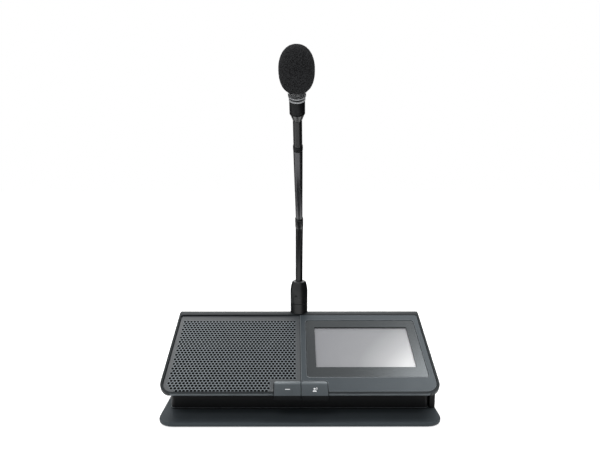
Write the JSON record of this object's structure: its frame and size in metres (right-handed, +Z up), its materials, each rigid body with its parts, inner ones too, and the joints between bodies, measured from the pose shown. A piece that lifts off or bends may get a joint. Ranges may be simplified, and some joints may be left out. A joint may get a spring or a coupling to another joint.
{
  "type": "conference delegate unit",
  "caption": "Sloped desk console with loudspeaker grille, touch screen, front talk buttons, side volume keys and a plug-in gooseneck microphone with foam windscreen.",
  "frame": {"origin": "on the table, under the middle of the box round the whole unit, which the microphone reaching forward makes 20 mm ahead of the middle of the base plate", "axes": "+X to the right as the delegate sees it, +Y away from the delegate, +Z up"},
  "size_m": [0.2576, 0.1892, 0.3219],
  "materials": {
    "cover_plastic": "fine-textured moulded plastic, dark grey",
    "panel_plastic": "smooth satin plastic, dark grey",
    "button_plastic": "satin plastic, dark grey",
    "black_plastic": "fine-textured moulded plastic, black",
    "base_paint": "powder coat, charcoal",
    "foot_rubber": "moulded rubber, black",
    "screw_steel": "zinc plated",
    "tray_steel": "bare sheet",
    "magnet_steel": "plated ferrite and steel",
    "basket_paint": "black lacquer",
    "touch_glass": "polished cover glass with a dark border",
    "display_face": "unlit grey display",
    "board_resin": "green solder resist",
    "speaker_cloth": "thin black acoustic cloth",
    "cone_paper": "black pulp",
    "socket_shell": "nickel plated",
    "connector_metal": "nickel plated",
    "sleeve_metal": "satin black coat on turned metal",
    "link_coat": "matte black sheath over steel",
    "tube_metal": "satin graphite coat",
    "light_ring": "translucent diffuser, unlit",
    "capsule_metal": "black anodised",
    "windscreen_foam": "open-cell foam, black"
  },
  "bodies": {
    "console": {"base_plate": "base_paint", "lower_housing": "black_plastic", "top_cover": "cover_plastic", "grille_plate": "panel_plastic", "speaker_cloth": "speaker_cloth", "face_panel": "panel_plastic", "touch_glass": "touch_glass", "display_panel": "display_face", "display_tray": "tray_steel", "speaker_frame": "basket_paint", "speaker_cone": "cone_paper", "speaker_magnet": "magnet_steel", "switch_carrier": "black_plastic", "button_board": "board_resin", "mute_switch": "black_plastic", "speak_switch": "black_plastic", "main_board": "board_resin", "network_socket_1": "socket_shell", "network_socket_2": "socket_shell", "side_module": "black_plastic", "headphone_jack": "black_plastic", "gooseneck_receptacle": "black_plastic", "gooseneck_connector": "connector_metal", "connector_sleeve": "sleeve_metal", "lock_screw": "screw_steel", "foot_1": "foot_rubber", "case_screw_1": "screw_steel", "foot_2": "foot_rubber", "case_screw_2": "screw_steel", "foot_3": "foot_rubber", "case_screw_3": "screw_steel", "foot_4": "foot_rubber", "case_screw_4": "screw_steel"},
    "mute_button": {"mute_button": "button_plastic"},
    "speak_button": {"speak_button": "button_plastic"},
    "volume_down_button": {"volume_down_button": "button_plastic"},
    "volume_up_button": {"volume_up_button": "button_plastic"},
    "lower_link_1": {"lower_link_1": "link_coat"},
    "lower_link_2": {"lower_link_2": "link_coat"},
    "lower_link_3": {"lower_link_3": "link_coat"},
    "lower_link_4": {"lower_link_4": "link_coat"},
    "lower_link_5": {"lower_link_5": "link_coat"},
    "lower_link_6": {"lower_link_6": "link_coat"},
    "lower_link_7": {"lower_link_7": "link_coat"},
    "stem": {"collar": "sleeve_metal", "stem_tube": "tube_metal", "stem_ring": "black_plastic"},
    "upper_link_1": {"upper_link_1": "link_coat"},
    "upper_link_2": {"upper_link_2": "link_coat"},
    "upper_link_3": {"upper_link_3": "link_coat"},
    "head": {"head_cone": "sleeve_metal", "head_housing": "black_plastic", "light_ring_lower": "light_ring", "light_ring_spacer": "black_plastic", "light_ring_upper": "light_ring", "microphone_capsule": "capsule_metal", "foam_windscreen": "windscreen_foam"}
  },
  "joints": [
    {"name": "mute_press", "type": "slide", "parent": "console", "child": "mute_button", "axis": [0, 0.4329, -0.9015], "range_m": [0, 0.0008], "stiffness_N_per_m": 1500},
    {"name": "speak_press", "type": "slide", "parent": "console", "child": "speak_button", "axis": [0, 0.4329, -0.9015], "range_m": [0, 0.0008], "stiffness_N_per_m": 1500},
    {"name": "volume_down_press", "type": "slide", "parent": "console", "child": "volume_down_button", "axis": [-1, 0, 0], "range_m": [0, 0.0006], "stiffness_N_per_m": 1500},
    {"name": "volume_up_press", "type": "slide", "parent": "console", "child": "volume_up_button", "axis": [-1, 0, 0], "range_m": [0, 0.0006], "stiffness_N_per_m": 1500},
    {"name": "lower_bend_1", "type": "hinge", "parent": "console", "child": "lower_link_1", "pos_m": [0, 0.05961, 0.10912], "axis": [1, 0, 0], "range_deg": [-20, 10]},
    {"name": "lower_sway_1", "type": "hinge", "parent": "lower_link_1", "child": "lower_link_2", "pos_m": [0, 0.05875, 0.11844], "axis": [0, 0.9833, 0.1822], "range_deg": [-14, 14]},
    {"name": "lower_bend_2", "type": "hinge", "parent": "lower_link_2", "child": "lower_link_3", "pos_m": [0, 0.05705, 0.12764], "axis": [1, 0, 0], "range_deg": [-20, 10]},
    {"name": "lower_sway_2", "type": "hinge", "parent": "lower_link_3", "child": "lower_link_4", "pos_m": [0, 0.05451, 0.13665], "axis": [0, 0.9336, 0.3584], "range_deg": [-14, 14]},
    {"name": "lower_bend_3", "type": "hinge", "parent": "lower_link_4", "child": "lower_link_5", "pos_m": [0, 0.05115, 0.14538], "axis": [1, 0, 0], "range_deg": [-20, 10]},
    {"name": "lower_sway_3", "type": "hinge", "parent": "lower_link_5", "child": "lower_link_6", "pos_m": [0, 0.04702, 0.15378], "axis": [0, 0.8526, 0.5225], "range_deg": [-14, 14]},
    {"name": "lower_bend_4", "type": "hinge", "parent": "lower_link_6", "child": "lower_link_7", "pos_m": [0, 0.04213, 0.16175], "axis": [1, 0, 0], "range_deg": [-20, 10]},
    {"name": "lower_sway_4", "type": "hinge", "parent": "lower_link_7", "child": "stem", "pos_m": [0, 0.03653, 0.16925], "axis": [0, 0.7431, 0.6691], "range_deg": [-14, 14]},
    {"name": "upper_bend_1", "type": "hinge", "parent": "stem", "child": "upper_link_1", "pos_m": [-0.00206, -0.03526, 0.24898], "axis": [0.9998, -0.0128, 0.0143], "range_deg": [-15, 15]},
    {"name": "upper_sway_1", "type": "hinge", "parent": "upper_link_1", "child": "upper_link_2", "pos_m": [-0.00221, -0.04037, 0.25491], "axis": [0.0008, 0.7716, 0.6361], "range_deg": [-15, 15]},
    {"name": "upper_bend_2", "type": "hinge", "parent": "upper_link_2", "child": "upper_link_3", "pos_m": [-0.00236, -0.04535, 0.26095], "axis": [0.9998, -0.0128, 0.0143], "range_deg": [-15, 15]},
    {"name": "upper_sway_2", "type": "hinge", "parent": "upper_link_3", "child": "head", "pos_m": [-0.00251, -0.0502, 0.2671], "axis": [0.0017, 0.7986, 0.6018], "range_deg": [-15, 15]}
  ],
  "couplings": [
    {"joint": "lower_bend_2", "follows": "lower_bend_1", "ratio": 1},
    {"joint": "lower_sway_2", "follows": "lower_sway_1", "ratio": 1},
    {"joint": "lower_bend_3", "follows": "lower_bend_1", "ratio": 1},
    {"joint": "lower_sway_3", "follows": "lower_sway_1", "ratio": 1},
    {"joint": "lower_bend_4", "follows": "lower_bend_1", "ratio": 1},
    {"joint": "lower_sway_4", "follows": "lower_sway_1", "ratio": 1},
    {"joint": "upper_bend_2", "follows": "upper_bend_1", "ratio": 1},
    {"joint": "upper_sway_2", "follows": "upper_sway_1", "ratio": 1}
  ]
}
